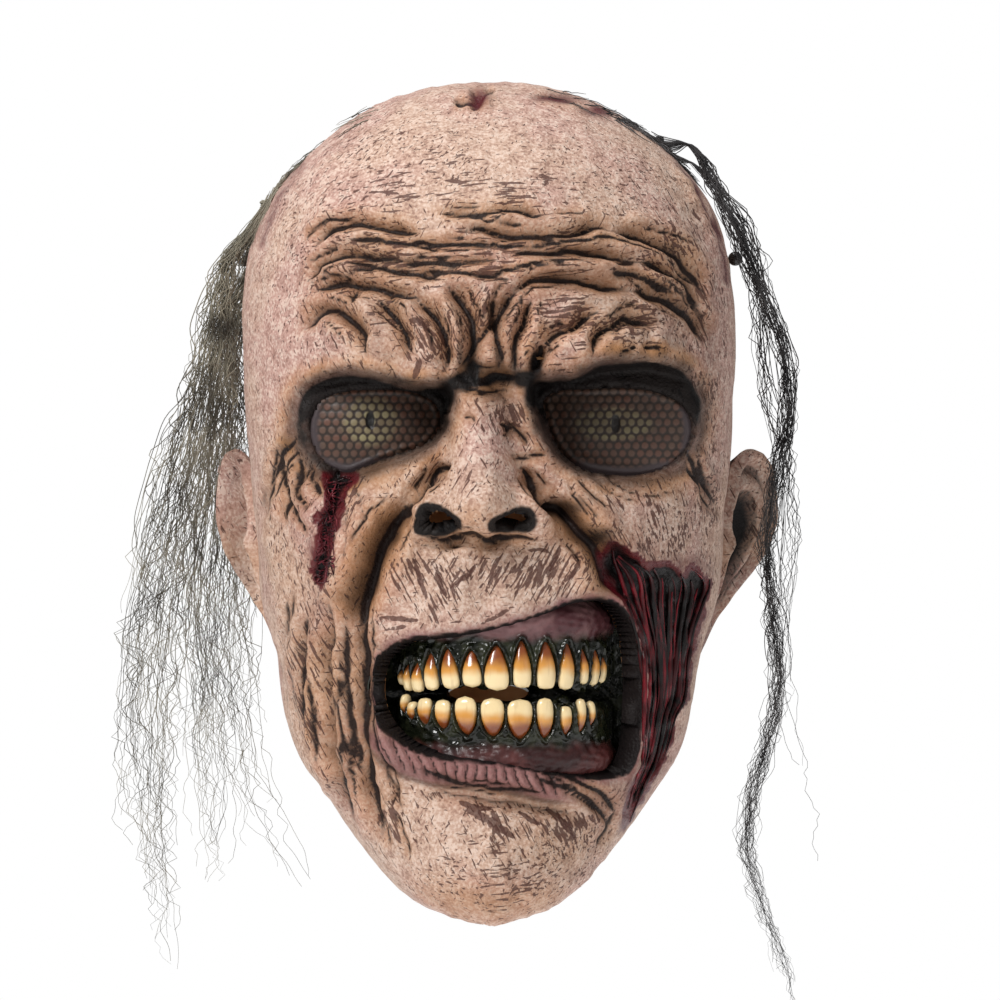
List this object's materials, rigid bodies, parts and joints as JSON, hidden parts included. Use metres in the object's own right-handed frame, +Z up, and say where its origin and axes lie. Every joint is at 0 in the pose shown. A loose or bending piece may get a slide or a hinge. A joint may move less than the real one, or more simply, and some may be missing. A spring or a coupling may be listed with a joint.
{
  "type": "halloween mask",
  "caption": "Hollow over-the-head latex mask of a snarling undead face, with mesh eye lenses, set teeth in dark gums and loose hanging locks of hair.",
  "frame": {"origin": "inside the hollow head, at the level of the tip of the nose and midway between the ears, where the wearer's head sits", "axes": "+Z up towards the crown, the face looks along -Y, +X towards a viewer's right"},
  "size_m": [0.2395, 0.2169, 0.3314],
  "materials": {
    "latex_skin": "matte painted latex, pinkish tan with dark washed folds",
    "eye_mesh": "printed perforated mesh",
    "gum": "glossy black-green latex",
    "teeth": "glossy cream to amber",
    "left_hair": "crimped fibre, grey brown",
    "right_hair": "crimped fibre, black grey",
    "bead": "glossy black"
  },
  "bodies": {
    "mask": {"mask_shell": "latex_skin", "left_eye_mesh": "eye_mesh", "right_eye_mesh": "eye_mesh", "upper_gum": "gum", "lower_gum": "gum", "left_hair_base": "left_hair", "right_hair_base": "right_hair", "left_bead": "bead", "right_bead": "bead", "upper_tooth_1": "teeth", "upper_tooth_2": "teeth", "upper_tooth_3": "teeth", "upper_tooth_4": "teeth", "upper_tooth_5": "teeth", "upper_tooth_6": "teeth", "upper_tooth_7": "teeth", "upper_tooth_8": "teeth", "upper_tooth_9": "teeth", "upper_tooth_10": "teeth", "upper_tooth_11": "teeth", "upper_tooth_12": "teeth", "upper_tooth_13": "teeth", "lower_tooth_1": "teeth", "lower_tooth_2": "teeth", "lower_tooth_3": "teeth", "lower_tooth_4": "teeth", "lower_tooth_5": "teeth", "lower_tooth_6": "teeth", "lower_tooth_7": "teeth", "lower_tooth_8": "teeth", "lower_tooth_9": "teeth", "lower_tooth_10": "teeth", "lower_tooth_11": "teeth"},
    "left_front_lock": {"left_front_lock": "left_hair"},
    "left_side_lock": {"left_side_lock": "left_hair"},
    "left_back_lock": {"left_back_lock": "left_hair"},
    "right_front_lock": {"right_front_lock": "right_hair"},
    "right_side_lock": {"right_side_lock": "right_hair"}
  },
  "joints": [
    {"name": "left_front_swing", "type": "hinge", "parent": "mask", "child": "left_front_lock", "pos_m": [-0.07925, -0.00747, 0.10636], "axis": [0, 1, 0], "range_deg": [0, 60]},
    {"name": "left_side_swing", "type": "hinge", "parent": "mask", "child": "left_side_lock", "pos_m": [-0.08352, 0.03378, 0.08944], "axis": [0, 1, 0], "range_deg": [0, 55]},
    {"name": "left_back_swing", "type": "hinge", "parent": "mask", "child": "left_back_lock", "pos_m": [-0.07827, 0.05279, 0.08512], "axis": [0, 1, 0], "range_deg": [0, 50]},
    {"name": "right_front_swing", "type": "hinge", "parent": "mask", "child": "right_front_lock", "pos_m": [0.05363, -0.00729, 0.13259], "axis": [0, -1, 0], "range_deg": [0, 60]},
    {"name": "right_side_swing", "type": "hinge", "parent": "mask", "child": "right_side_lock", "pos_m": [0.06131, 0.01705, 0.12659], "axis": [0, -1, 0], "range_deg": [0, 50]}
  ]
}
